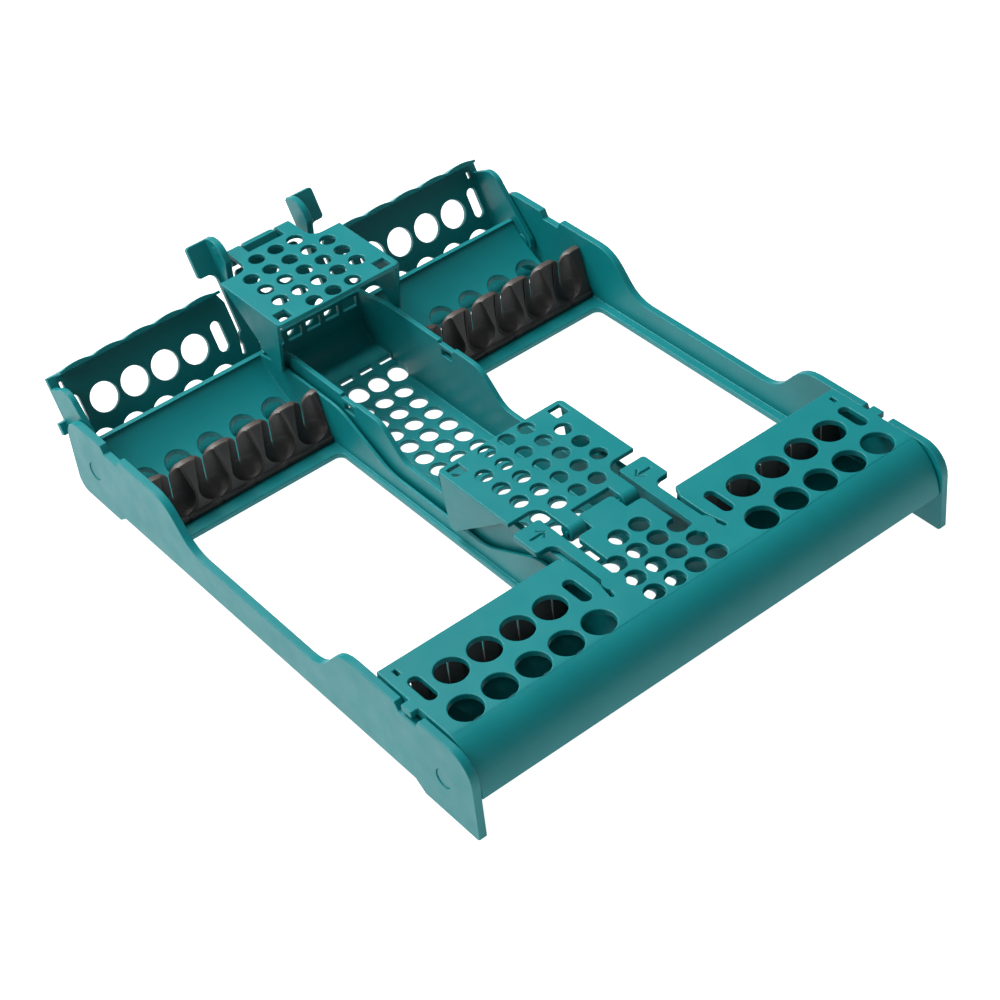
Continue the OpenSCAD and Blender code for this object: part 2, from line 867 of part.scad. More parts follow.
module cover() {
    color(teal_light)
        difference() {
            union() {
                translate([0, 0, cover_under])
                    linear_extrude(height = cover_t)
                        cover_plan();
                roll();
                translate([-tongue_half, lid_axis_y - knuckle_half, knuckle_z])
                    cube([2 * tongue_half, 2 * knuckle_half, cover_top - knuckle_z - cover_t / 2]);
                both_sides() {
                    cheek();
                    lip();
                    translate([cover_half - cheek_t, lug_near, cover_under - cover_t / 8])
                        cube([lug_out - cheek_in, lug_far - lug_near, cover_t + cover_t / 8]);
                }
            }
            both_sides() {
                translate([0, 0, cover_under - cut])
                    linear_extrude(height = cover_t + 2 * cut)
                        cover_cuts();
                translate([cheek_in - corner_gap, cheek_end - cut, cover_under - cover_t])
                    cube([corner_gap / 2, corner_gap, 2 * cover_t + cut]);
                translate([cheek_in - cut, pivot_y, pivot_z])
                    rotate([0, 90, 0])
                        cylinder(h = cheek_t + 2 * cut, r = cover_pin_r + pin_play);
                translate([lid_pin_in - cut, lid_axis_y, lid_axis_z])
                    rotate([0, 90, 0])
                        cylinder(h = tongue_half, r = lid_pin_r - pin_grip);
            }
        }
}

// latch arm, drawn closed at the back on the right-hand side

module arm_plan() {
    plate_out = tab_out - tooth_r;
    step = (tab_far - tab_near - 2 * tooth_r) / (teeth - 1);
    translate([arm_in, tab_near + tooth_r])
        square([arm_out - arm_in, root_y - tab_near - tooth_r]);
    translate([arm_mid, root_y])
        circle(r = root_r);
    translate([(arm_in + tab_out) / 2, (tab_near + tab_far) / 2])
        rounded(tab_out - arm_in, tab_far - tab_near, tooth_r);
    translate([(arm_in + plate_out) / 2, (tab_near + tab_far) / 2])
        square([plate_out - arm_in, tab_far - tab_near - tooth_r], center = true);
    for (i = [0 : teeth - 1])
        translate([plate_out, tab_near + tooth_r + i * step])
            circle(r = tooth_r);
    translate([arm_out, tab_far])
        difference() {
            translate([-tab_fillet / 2, -tab_fillet / 2])
                square(3 * tab_fillet / 2);
            translate([tab_fillet, tab_fillet])
                circle(r = tab_fillet);
        }
}

// an arrow that points to the middle, of a shaft and two strokes
module arrow() {
    translate([(arm_in + tab_out - arrow_l) / 2, (tab_near + tab_far) / 2]) {
        translate([0, -arrow_line / 2])
            square([arrow_l, arrow_line]);
        for (turn = [-45, 45])
            rotate(turn)
                translate([-arrow_line / 2, -arrow_line / 2])
                    square([arrow_head, arrow_line]);
    }
}

module web() {
    run = web_end - web_deep_end;
    drop = cover_under - web_low;
    across(arm_in, web_out)
        polygon(concat(
            [[tab_near, cover_under + cover_t / 2]],
            arc(tab_near + web_r, web_low + web_r, web_r, 180, 270),
            [for (i = [0 : arc_n]) [
                web_deep_end + run * i / arc_n,
                web_low + drop * (1 - pow(1 - i / arc_n, 2))
            ]],
            [[web_end, cover_under + cover_t / 2]]
        ));
}

module latch_arm() {
    hook_near = catch_near + 2 * catch_inset;
    hook_far = catch_far - 2 * catch_inset;
    hook_h = (catch_high - catch_low) / 2;
    color(teal_light) {
        difference() {
            translate([0, 0, cover_under])
                linear_extrude(height = cover_t)
                    arm_plan();
            translate([0, 0, cover_top - arrow_d])
                linear_extrude(height = arrow_d + cut)
                    arrow();
        }
        web();
        translate([web_out - cheek_t / 4, hook_near, catch_low + hook_h / 2])
            cube([hook_out - web_out + cheek_t / 4, hook_far - hook_near, hook_h]);
    }
}

// trough lid, drawn closed at the back

module lid_plan() {
    length = lid_near - lid_free;
    difference() {
        union() {
            translate([0, (lid_near + lid_free) / 2])
                rounded(2 * lid_half, length, lid_corner_r);
            translate([-lid_half, lid_near - length / 2])
                square([2 * lid_half, length / 2]);
            translate([-ear_out, lid_free + lid_corner_r])
                square([2 * ear_out, lid_axis_y - lid_free - lid_corner_r]);
            both_sides()
                translate([ear_out, lid_near])
                    difference() {
                        square([ear_hollow_r, ear_hollow_r]);
                        translate([ear_hollow_r, ear_hollow_r])
                            circle(r = ear_hollow_r);
                    }
        }
        translate([-ear_in, ear_part])
            square([2 * ear_in, lid_axis_y]);
        for (row = [0 : lid_rows - 1])
            for (x = [-2 : 2])
                if (abs(x) < 2 || (row > 0 && row < lid_rows - 1))
                    translate([x * lid_hole_pitch, lid_row_first + row * lid_row_pitch])
                        circle(r = lid_hole_r);
        for (x = [-1, 1])
            translate([x * lid_square_x, lid_square_y])
                square(lid_square, center = true);
    }
}

module lid_wall() {
    across(lid_half - lid_wall_t, lid_half)
        polygon(concat(
            [[lid_free + lid_t / 2, lid_top - lid_t / 2]],
            arc(lid_wall_low_y, lid_wall_low + lid_wall_r, lid_wall_r, 190, 320, arc_n),
            [[lid_wall_end, lid_top - lid_t]],
            [[lid_wall_end, lid_top - lid_t / 2]]
        ));
}

module trough_lid() {
    color(teal_light)
        difference() {
            union() {
                translate([0, 0, lid_top - lid_t])
                    linear_extrude(height = lid_t)
                        lid_plan();
                both_sides() {
                    lid_wall();
                    translate([ear_in, lid_axis_y, lid_axis_z])
                        rotate([0, 90, 0])
                            cylinder(h = ear_out - ear_in, r = ear_r);
                }
            }
            both_sides()
                translate([tongue_half, lid_axis_y, lid_axis_z])
                    rotate([0, 90, 0])
                        cylinder(h = lid_pin_in + lid_pin_l + ear_gap - tongue_half,
                            r = lid_pin_r + pin_play);
        }
}

// pins, drawn at the back on the right-hand side

module cover_pin() {
    color(teal)
        translate([cover_pin_in, pivot_y, pivot_z])
            rotate([0, 90, 0])
                cylinder(h = half_width - pin_recess - cover_pin_in, r = cover_pin_r);
}

module lid_pin() {
    color(teal)
        translate([lid_pin_in, lid_axis_y, lid_axis_z])
            rotate([0, 90, 0])
                cylinder(h = lid_pin_l, r = lid_pin_r);
}

// places for pieces that were drawn at the back

module left() {
    mirror([1, 0, 0])
        children();
}

module at_front() {
    translate([0, frame_shift, 0])
        mirror([0, 1, 0])
            children();
}

module at_back() {
    translate([0, frame_shift, 0])
        children();
}

module opened() {
    translate([0, pivot_y, pivot_z])
        rotate([-cover_open, 0, 0])
            translate([0, -pivot_y, -pivot_z])
                children();
}

module lid_opened() {
    translate([0, open_axis_y - lid_axis_y, open_axis_z - lid_axis_z])
        children();
}

at_back() tray();
at_front() cover();  // front_cover
at_back() opened() cover();  // back_cover
at_front() trough_lid();  // front_trough_lid
at_back() lid_opened() trough_lid();  // back_trough_lid
at_front() left() comb();  // front_left_comb
at_front() comb();  // front_right_comb
at_back() left() comb();  // back_left_comb
at_back() comb();  // back_right_comb
at_front() left() latch_arm();  // front_left_latch_arm
at_front() latch_arm();  // front_right_latch_arm
at_back() opened() left() latch_arm();  // back_left_latch_arm
at_back() opened() latch_arm();  // back_right_latch_arm
at_front() left() cover_pin();  // front_left_cover_pin
at_front() cover_pin();  // front_right_cover_pin
at_back() left() cover_pin();  // back_left_cover_pin
at_back() cover_pin();  // back_right_cover_pin
at_front() left() lid_pin();  // front_left_lid_pin
at_front() lid_pin();  // front_right_lid_pin
at_back() opened() left() lid_pin();  // back_left_lid_pin
at_back() opened() lid_pin();  // back_right_lid_pin
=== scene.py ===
"""An instrument cassette of teal plastic with charcoal silicone combs.

Everything in the scene is in metres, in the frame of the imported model: X across,
+Y towards the open cover, Z up from the ground. A size in millimetres is multiplied
by MM where it is set, or, for the combs, where their points are placed.
"""

import json
import math
from collections import namedtuple

import bmesh
import bpy
from mathutils import Matrix, Vector
from mathutils.bvhtree import BVHTree


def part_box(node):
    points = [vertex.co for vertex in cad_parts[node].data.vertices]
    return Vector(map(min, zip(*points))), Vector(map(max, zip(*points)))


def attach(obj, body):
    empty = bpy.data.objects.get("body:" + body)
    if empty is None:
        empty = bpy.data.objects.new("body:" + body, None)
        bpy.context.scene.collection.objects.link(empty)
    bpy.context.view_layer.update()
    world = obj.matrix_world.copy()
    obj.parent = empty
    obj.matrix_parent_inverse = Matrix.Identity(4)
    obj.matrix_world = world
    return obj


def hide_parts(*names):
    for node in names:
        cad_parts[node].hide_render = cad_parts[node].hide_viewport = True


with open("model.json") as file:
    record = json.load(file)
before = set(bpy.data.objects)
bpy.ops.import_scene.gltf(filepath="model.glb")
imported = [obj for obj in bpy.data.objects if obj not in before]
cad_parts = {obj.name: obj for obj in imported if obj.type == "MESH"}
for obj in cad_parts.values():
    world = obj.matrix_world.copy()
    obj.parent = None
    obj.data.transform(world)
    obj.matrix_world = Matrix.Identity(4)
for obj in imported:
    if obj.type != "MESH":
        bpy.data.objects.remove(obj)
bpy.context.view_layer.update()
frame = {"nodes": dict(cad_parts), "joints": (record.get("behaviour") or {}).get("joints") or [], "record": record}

MM = 0.001
NODES = frame["nodes"]
BODY_OF = {
    node: body
    for body, members in frame["record"]["behaviour"]["bodies"].items()
    for node in members
}

# camera, solved from the photograph's hole grids and straight edges
CAM_PLACE = Vector((-0.30259, -0.4520665, 0.45898))
CAM_AIM = Vector((0.00196, -0.0096565, 0.0))
CAM_ROLL = math.radians(-6.8056)
CAM_LENS = 83.035
CAM_SENSOR = 36.0

# colours, linear
TEAL = (0.0020, 0.178, 0.190, 1.0)
TEAL_DEEP = (0.0015, 0.158, 0.171, 1.0)
TEAL_RUBBED = (0.008, 0.21, 0.218, 1.0)
CHARCOAL = (0.022, 0.0215, 0.0225, 1.0)
CHARCOAL_WARM = (0.031, 0.028, 0.0275, 1.0)
# painted highlight on the combs' slit edges and cup rims, with wear over the lobe tops: a lighter, browner
# silicone
SILICONE_HIGHLIGHT_AND_WEAR = (0.075, 0.060, 0.050, 1.0)
PAPER = (0.38, 0.38, 0.38, 1.0)
STUDIO_LOW = (0.55, 0.55, 0.55, 1.0)
STUDIO_HIGH = (0.26, 0.26, 0.26, 1.0)

# surfaces: the usual reach of a noise, how far gloss strays, how patchy the painted edge highlight and wear are
NOISE_LOW = 0.3
NOISE_HIGH = 0.7
GLOSS_STRAY = 0.05
GLOSS_FINER = 3.0
HIGHLIGHT_AND_WEAR_LEAST = 0.45
HIGHLIGHT_AND_WEAR_FINER = 9.0
GRAIN_DEPTH = 0.05 * MM

# the rounding of each kind of plastic piece. The lid pins are hidden and stay as they are
SOFT_EDGE = {
    "tray": 0.32 * MM,
    "cover_pin": 0.3 * MM,
    "cover": 0.34 * MM,
    "trough_lid": 0.36 * MM,
    "latch_arm": 0.34 * MM,
}
# an edge at least this sharp is rounded, in this many steps
CORNER = math.radians(28.0)
SOFT_STEPS = 3
# points this close are one, and faces that turn less than this are joined first
MERGE = 0.002 * MM
FLAT = math.radians(0.6)
# how finely planes are told apart, and how far a folded face's areas differ, as a share
PLANE_STEP = 0.05 * MM
FOLD_SHARE = 0.004
# a point this share of the width off the solid was thrown off it
THROWN_OFF = 0.8
TRIES = 4
# how much the larger faces sway the shading at their corners. 50 is not at all
FLAT_WEIGHT = 90

# the round gap between an arm's root and its pocket, and the radius that closes it
ROOT_IN = 3.3 * MM
ROOT_OUT = 3.55 * MM
ROOT_CLOSED = 3.47 * MM

# the combs, drawn at the back on the right-hand side, in millimetres
COMB_IN = 22.3
COMB_OUT = 84.9
COMB_FOOT = 7.0
COMB_TOP = 24.4
COMB_BACK = 61.1
COMB_FACE = 54.2
LEAN = math.tan(math.radians(15.4))
# the strip at the foot of a comb stands proud of the face
COMB_LIP = 0.5
STRIP_TOP = 9.0
STRIP_SOFT = 0.12
STRIP_LAST = 8.85
STRIP_ROWS = (COMB_FOOT, 7.25, 8.0, 8.6, STRIP_LAST)
# lobes, with a slit between every two
LOBE_HALF = 6.15
LOBE_FOOT = 18.1
LOBE_POWER = 2.5
LOBE_SHARE = 0.97
SLIT_FIRST = 27.8
SLITS = [SLIT_FIRST + 2 * LOBE_HALF * i for i in range(5)]
SLIT_FOOT = 11.6
SLIT_HALF = 0.2
SLIT_RUN_IN = 0.3
# a cup round each slit
CUP_LOW = 9.35
CUP_MID = 14.2
CUP_HALF = 5.45
CUP_HALF_TOP = 3.3
CUP_NARROWING = 1.1
CUP_DEPTH = 4.35
CUP_CLOSER = 0.25
CUP_LEAST = 0.9
RIM = 0.22
FLAT_LEAST = 0.3
# the rows and columns of a lobe's points
CUP_STEPS = [0.0, 0.1, 0.22, 0.36, 0.5, 0.63, 0.75, 0.85, 0.93]
FLAT_STEPS = [0.2, 0.4, 0.6, 0.8]
LIP_STEPS = [0.35, 0.7]
LOW_ROWS = 16
HIGH_ROWS = 26
SETTLING = 3
# the round top: how far back, and how much higher
RIDGE = ((0.12, 0.0), (0.5, 0.14), (0.88, 0.0))
COMB_MERGE = 0.004
COMB_CORNER = math.radians(62.0)
# painted highlight and wear, of 1: painted highlight on a slit's edges, on a cup's rim and beside it; painted
# highlight and wear over the top
SLIT_HIGHLIGHT = 1.0
RIM_HIGHLIGHT = 0.35
NEAR_RIM_HIGHLIGHT = 0.2
TOP_HIGHLIGHT_AND_WEAR = 0.9
TOP_HIGHLIGHT_AND_WEAR_DOWN = 0.8

# floor, studio and lamps: a lamp's place, its size and its power in watts
FLOOR_REACH = 4.0
FLOOR_ROUGH = 0.9
FLOOR_SHINE = 0.1
FLOOR_GLOW = 1.0
STUDIO_TURN = 0.28
STUDIO_POWER = 0.95
LAMPS = {
    "key": (Vector((-0.24, 0.8, 1.26)), (0.8, 0.7), 36.0),
    "left": (Vector((-1.1, 0.1, 0.9)), (0.9, 0.7), 6.0),
}


# materials

def new_material(name, tones, highlight_and_wear, rough, shine, mottle, bump, grain):
    """A moulded plastic or rubber: two close tones, uneven gloss, a fine grain.

    Points that carry the mask of painted edge highlight and wear take that colour,
    painted into the base colour. The numbers mottle and grain are the scales of the noises.
    """
    mat = bpy.data.materials.new(name)
    mat.use_nodes = True
    tree = mat.node_tree
    link = tree.links.new
    shader = tree.nodes["Principled BSDF"]
    coords = tree.nodes.new("ShaderNodeTexCoord")

    def noise(scale, detail, rough_share):
        n = tree.nodes.new("ShaderNodeTexNoise")
        n.inputs["Scale"].default_value = scale
        n.inputs["Detail"].default_value = detail
        n.inputs["Roughness"].default_value = rough_share
        link(coords.outputs["Object"], n.inputs["Vector"])
        return n.outputs["Fac"]

    def spread(value, low, high):
        m = tree.nodes.new("ShaderNodeMapRange")
        m.inputs["From Min"].default_value = NOISE_LOW
        m.inputs["From Max"].default_value = NOISE_HIGH
        m.inputs["To Min"].default_value = low
        m.inputs["To Max"].default_value = high
        link(value, m.inputs["Value"])
        return m.outputs["Result"]

    def mix(fac, a, b):
        m = tree.nodes.new("ShaderNodeMix")
        m.data_type = "RGBA"
        link(fac, m.inputs["Factor"])
        colours = [s for s in m.inputs if s.type == "RGBA"]
        for value, socket in zip((a, b), colours):
            if isinstance(value, tuple):
                socket.default_value = value
            else:
                link(value, socket)
        return [s for s in m.outputs if s.type == "RGBA"][0]

    colour = mix(spread(noise(mottle, 4.0, 0.6), 0.0, 1.0), *tones)
    # painted edge highlight and wear: the mask set on the combs lightens their slit edges, cup rims and lobe tops
    edge_highlight_and_wear = tree.nodes.new("ShaderNodeAttribute")
    edge_highlight_and_wear.attribute_name = "edge_highlight_and_wear"
    times = tree.nodes.new("ShaderNodeMath")
    times.operation = "MULTIPLY"
    link(edge_highlight_and_wear.outputs["Fac"], times.inputs[0])
    link(spread(noise(mottle * HIGHLIGHT_AND_WEAR_FINER, 3.0, 0.6), HIGHLIGHT_AND_WEAR_LEAST, 1.0), times.inputs[1])
    colour = mix(times.outputs["Value"], colour, highlight_and_wear)
    link(colour, shader.inputs["Base Color"])
    gloss = spread(noise(mottle * GLOSS_FINER, 3.0, 0.5), rough - GLOSS_STRAY, rough + GLOSS_STRAY)
    link(gloss, shader.inputs["Roughness"])

    relief = tree.nodes.new("ShaderNodeBump")
    relief.inputs["Strength"].default_value = bump
    relief.inputs["Distance"].default_value = GRAIN_DEPTH
    link(noise(grain, 2.0, 0.5), relief.inputs["Height"])
    link(relief.outputs["Normal"], shader.inputs["Normal"])
    shader.inputs["Specular IOR Level"].default_value = shine
    return mat


teal = new_material(
    "teal_plastic",
    tones=(TEAL, TEAL_DEEP),
    highlight_and_wear=TEAL_RUBBED,
    rough=0.42,
    shine=0.24,
    mottle=45.0,
    bump=0.25,
    grain=2600.0,
)
silicone = new_material(
    "charcoal_silicone",
    tones=(CHARCOAL_WARM, CHARCOAL),
    highlight_and_wear=SILICONE_HIGHLIGHT_AND_WEAR,
    rough=0.47,
    shine=0.4,
    mottle=110.0,
    bump=0.3,
    grain=1800.0,
)

for name, node in NODES.items():
    node.data.materials.clear()
    node.data.materials.append(silicone if name.endswith("comb") else teal)


# plastic pieces: the CAD solids with their edges rounded as a mould leaves them

ROOTS = [
    (Vector(j["pos_m"]), Vector(j["axis"]).normalized())
    for j in frame["joints"]
    if j["name"].endswith("arm_flex")
]


def from_root(point):
    """The distance of a point from the nearest arm's root axis, and the way out."""
    best = None
    for place, axis in ROOTS:
        out = point - place
        out -= axis * out.dot(axis)
        if best is None or out.length < best.length:
            best = out
    return best.length, best


def plane_of(normal, point):
    """A name for the plane through a point, the same for every face that lies in it."""
    return tuple(round(c, 2) + 0.0 for c in normal) + (round(normal.dot(point) / PLANE_STEP),)


def solid_copy(name, torn):
    """The CAD node as one closed mesh with its edges marked, and flat faces joined where not torn."""
    bm = bmesh.new()
    bm.from_mesh(NODES[name].data)
    bmesh.ops.remove_doubles(bm, verts=bm.verts, dist=MERGE)
    if name.endswith("latch_arm"):
        for v in bm.verts:
            r, out = from_root(v.co)
            if ROOT_IN < r < ROOT_OUT:
                v.co += out.normalized() * (ROOT_CLOSED - r)
    solid = BVHTree.FromBMesh(bm)
    bm.normal_update()
    kept = {f for f in bm.faces if plane_of(f.normal, f.calc_center_median()) in torn}
    bmesh.ops.dissolve_limit(
        bm,
        angle_limit=FLAT,
        verts=[v for v in bm.verts if not any(f in kept for f in v.link_faces)],
        edges=[e for e in bm.edges if not any(f in kept for f in e.link_faces)],
    )
    weight = bm.edges.layers.float.new("bevel_weight_edge")
    for edge in bm.edges:
        edge.smooth = True
        if edge.calc_face_angle(0.0) < CORNER:
            continue
        if all(ROOT_IN < from_root(v.co)[0] < ROOT_OUT for v in edge.verts):
            edge.smooth = False
            continue
        edge[weight] = 1.0
    for face in bm.faces:
        face.smooth = True
    mesh = bpy.data.meshes.new(name + "_dressed")
    bm.to_mesh(mesh)
    bm.free()
    if "custom_normal" in mesh.attributes:
        mesh.attributes.remove(mesh.attributes["custom_normal"])
    return mesh, solid


def folded(mesh):
    """The planes of faces whose outline crosses itself once the edges are rounded."""
    mesh.calc_loop_triangles()
    filled = {}
    for t in mesh.loop_triangles:
        filled[t.polygon_index] = filled.get(t.polygon_index, 0.0) + t.area
    bad = set()
    for p in mesh.polygons:
        if len(p.vertices) < 5:
            continue
        corners = [mesh.vertices[i].co for i in p.vertices]
        net = Vector()
        for u, v in zip(corners, corners[1:] + corners[:1]):
            net += (u - corners[0]).cross(v - corners[0])
        net = net.length / 2
        if abs(filled.get(p.index, 0.0) - net) > FOLD_SHARE * net:
            bad.add(plane_of(p.normal, corners[0]))
    return bad


def rounded(obj, width):
    """The object's mesh with its marked edges rounded."""
    bevel = obj.modifiers.new("soft_edges", "BEVEL")
    bevel.width = width
    bevel.segments = SOFT_STEPS
    bevel.limit_method = "WEIGHT"
    bevel.use_clamp_overlap = False
    bevel.loop_slide = False
    bevel.face_strength_mode = "FSTR_ALL"
    bpy.context.view_layer.update()
    graph = bpy.context.evaluated_depsgraph_get()
    mesh = bpy.data.meshes.new_from_object(
        obj.evaluated_get(graph), preserve_all_data_layers=True, depsgraph=graph
    )
    obj.modifiers.remove(bevel)
    return mesh


def dressed(name, width):
    """A copy of a CAD node with soft edges. It stands for the node and rides with it.

    A point that the rounding throws off the solid goes back on it. A flat face that
    the rounding folds is left in its CAD triangles, and the rounding is done again.
    """
    obj = bpy.data.objects.new(name + "_dressed", bpy.data.meshes.new(name))
    bpy.context.scene.collection.objects.link(obj)
    torn = set()
    for _ in range(TRIES):
        obj.data, solid = solid_copy(name, torn)
        result = rounded(obj, width)
        for v in result.vertices:
            place, _, _, gap = solid.find_nearest(v.co)
            if gap > THROWN_OFF * width:
                v.co = place
        more = folded(result) - torn
        if not more:
            break
        torn |= more
    obj.data = result
    normals = obj.modifiers.new("even_shading", "WEIGHTED_NORMAL")
    normals.keep_sharp = True
    normals.use_face_influence = True
    normals.weight = FLAT_WEIGHT
    obj.data.materials.clear()
    obj.data.materials.append(teal)
    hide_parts(name)
    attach(obj, BODY_OF[name])


for name in NODES:
    if not name.endswith(("comb", "lid_pin")):
        dressed(name, next(w for kind, w in SOFT_EDGE.items() if name.endswith(kind)))


# silicone combs

Lobe = namedtuple("Lobe", "left right slit_left slit_right middle")


def lobe_top(x, middle):
    """The height of a lobe's rounded outline at x."""
    t = min(abs(x - middle) / LOBE_HALF, 1.0) * LOBE_SHARE
    return LOBE_FOOT + (COMB_TOP - LOBE_FOOT) * (1.0 - t**LOBE_POWER) ** (1.0 / LOBE_POWER)


def face_y(z):
    """Where the leaning face is at height z."""
    return COMB_FACE + (z - COMB_FOOT) * LEAN


def bowl(z):
    """The shape of a cup's round lower half: 0 at its foot and 1 at its middle."""
    t = (CUP_MID - z) / (CUP_MID - CUP_LOW)
    return math.sqrt(max(0.0, 1.0 - t * t))


def cup_half(z):
    """Half the width of a cup's mouth at height z."""
    if z <= CUP_LOW:
        return 0.0
    if z < CUP_MID:
        return CUP_HALF * bowl(z)
    t = (z - CUP_MID) / (COMB_TOP - CUP_MID)
    return CUP_HALF - (CUP_HALF - CUP_HALF_TOP) * t**CUP_NARROWING


def cup_depth(z):
    """How deep a cup is in its middle, behind the leaning face."""
    if z <= CUP_LOW:
        return 0.0
    if z < CUP_MID:
        return CUP_DEPTH * bowl(z)
    wall = face_y(CUP_MID) + CUP_DEPTH
    return wall - CUP_CLOSER * (z - CUP_MID) / (COMB_TOP - CUP_MID) - face_y(z)


def cup_cut(x, z):
    """How far the face is sunk at x and z."""
    slit = min(SLITS, key=lambda s: abs(s - x))
    w = cup_half(z)
    if abs(x - slit) >= w:
        return 0.0
    t = abs(x - slit) / w
    return cup_depth(z) * math.sqrt(1.0 - t * t)


def slit_half(z):
    """Half a slit's width, which grows from its foot to the top."""
    if z <= SLIT_FOOT:
        return 0.0
    up = z - SLIT_FOOT
    return SLIT_HALF * min(1.0, up / SLIT_RUN_IN) + SLIT_HALF * up / (COMB_TOP - SLIT_FOOT)


def comb_lobes():
    """The lobes, from the trough outwards. The two end ones have one slit beside them."""
    edges = [COMB_IN] + SLITS + [COMB_OUT]
    lobes = []
    for k, (left, right) in enumerate(zip(edges, edges[1:])):
        slit_left, slit_right = k > 0, k < len(edges) - 2
        middle = left + LOBE_HALF if slit_left else right - LOBE_HALF
        lobes.append(Lobe(left, right, slit_left, slit_right, middle))
    return lobes


def lobe_columns(lobe):
    """The columns of a lobe: from what each is measured, and how far."""
    columns = []
    if lobe.slit_left:
        columns += [("left", f) for f in CUP_STEPS]
        columns += [("left_rim", f) for f in (-RIM, 0.0, RIM)]
    else:
        columns += [("edge_left", 0.0)]
    columns += [("flat", f) for f in FLAT_STEPS]
    if lobe.slit_right:
        columns += [("right_rim", f) for f in (-RIM, 0.0, RIM)]
        columns += [("right", f) for f in reversed(CUP_STEPS)]
    else:
        columns += [("edge_right", 0.0)]
    return columns


def comb_rows():
    """The rows of a lobe: strip, lip, lower half of the cup, and from there to the top."""
    rows = [("z", z) for z in STRIP_ROWS]
    rows += [("lip", f) for f in LIP_STEPS]
    rows += [("z", STRIP_TOP + STRIP_SOFT)]
    for i in range(1, LOW_ROWS + 1):
        angle = math.pi / 2 * i / LOW_ROWS
        rows.append(("z", CUP_MID - (CUP_MID - CUP_LOW) * math.cos(angle)))
    rows += [("top", i / HIGH_ROWS) for i in range(1, HIGH_ROWS + 1)]
    return rows


def column_x(side, f, z, lobe):
    """Where a column is at height z."""
    w = max(cup_half(z), CUP_LEAST)
    h = slit_half(z)
    flat_left = lobe.left + w + RIM if lobe.slit_left else lobe.left
    flat_right = lobe.right - w - RIM if lobe.slit_right else lobe.right
    if flat_right - flat_left < FLAT_LEAST:
        middle = (flat_left + flat_right) / 2
        flat_left, flat_right = middle - FLAT_LEAST / 2, middle + FLAT_LEAST / 2
    rim_left, rim_right = flat_left - RIM, flat_right + RIM
    return {
        "left": lobe.left + h + f * (rim_left - RIM - lobe.left - h),
        "left_rim": rim_left + f,
        "edge_left": lobe.left,
        "flat": flat_left + f * (flat_right - flat_left),
        "edge_right": lobe.right,
        "right_rim": rim_right - f,
        "right": lobe.right - h - f * (lobe.right - h - rim_right - RIM),
    }[side]


def comb_point(side, f, kind, value, lobe):
    """Where a column crosses a row on the comb's face.

    In the rows up to the top, the height follows from x and x from the height, so
    both are worked out a few times.
    """
    z = value if kind == "z" else STRIP_TOP
    x = column_x(side, f, z, lobe)
    if kind == "top":
        for _ in range(SETTLING):
            z = CUP_MID + value * (lobe_top(x, lobe.middle) - CUP_MID)
            x = column_x(side, f, z, lobe)
    strip_y = COMB_FACE - COMB_LIP
    if kind == "lip":
        y = strip_y + value * (face_y(z) - strip_y)
    elif z < STRIP_TOP:
        y = strip_y + (STRIP_SOFT if z in (COMB_FOOT, STRIP_LAST) else 0.0)
    else:
        y = face_y(z) + cup_cut(x, z)
    return x, y, z


def highlight_and_wear_at(side, f, kind, x, z, lobe):
    """How much painted highlight, and over the top wear, a point of the comb's face takes."""
    # a slit's edges take a painted highlight, standing for light seen through the slit
    if f == 0.0 and side in ("left", "right") and z > SLIT_FOOT:
        return SLIT_HIGHLIGHT
    highlight_and_wear = 0.0
    # a cup's rim and the points beside it take a painted highlight
    if side.endswith("rim"):
        highlight_and_wear = RIM_HIGHLIGHT if f == 0.0 else NEAR_RIM_HIGHLIGHT
    # over the top: painted highlight and wear together
    if kind == "top":
        down = lobe_top(x, lobe.middle) - z
        highlight_and_wear = max(highlight_and_wear, TOP_HIGHLIGHT_AND_WEAR * (1.0 - min(1.0, down / TOP_HIGHLIGHT_AND_WEAR_DOWN)))
    return highlight_and_wear


def make_lobe(lobe, put, face):
    """One lobe with its two half cups, as a closed shell but for the feet of its slits."""

    def strip(a, b):
        for corners in zip(a, a[1:], b[1:], b):
            face(corners)

    columns = lobe_columns(lobe)
    front, back = [], []
    for kind, value in comb_rows():
        near, far = [], []
        for side, f in columns:
            x, y, z = comb_point(side, f, kind, value, lobe)
            near.append(put(x, y, z, highlight_and_wear_at(side, f, kind, x, z, lobe)))
            far.append(put(x, COMB_BACK, z, 0.0))
        front.append(near)
        back.append(far)
    for a, b in zip(front, front[1:]):
        strip(a, b)
    for a, b in zip(back, back[1:]):
        strip(b, a)

    # over the top, round
    crest = [comb_point(side, f, "top", 1.0, lobe) for side, f in columns]
    # the ridge points take the full painted highlight and wear of the top
    ridge = [
        [put(x, COMB_BACK + (y - COMB_BACK) * (1.0 - share), z + rise, TOP_HIGHLIGHT_AND_WEAR) for x, y, z in crest]
        for share, rise in RIDGE
    ]
    loops = [front[-1]] + ridge + [back[-1]]
    for a, b in zip(loops, loops[1:]):
        strip(a, b)
    strip(back[0], front[0])

    # both ends. Below the foot of a slit the lobe joins its neighbour
    for side, slit in ((0, lobe.slit_left), (-1, lobe.slit_right)):
        a = [row[side] for row in front]
        b = [row[side] for row in back]
        for i in range(len(a) - 1):
            if not slit or a[i + 1].co.z > SLIT_FOOT * MM:
                face((a[i], a[i + 1], b[i + 1], b[i]), side == 0)
        face((a[-1], *(row[side] for row in ridge), b[-1]), side == 0)


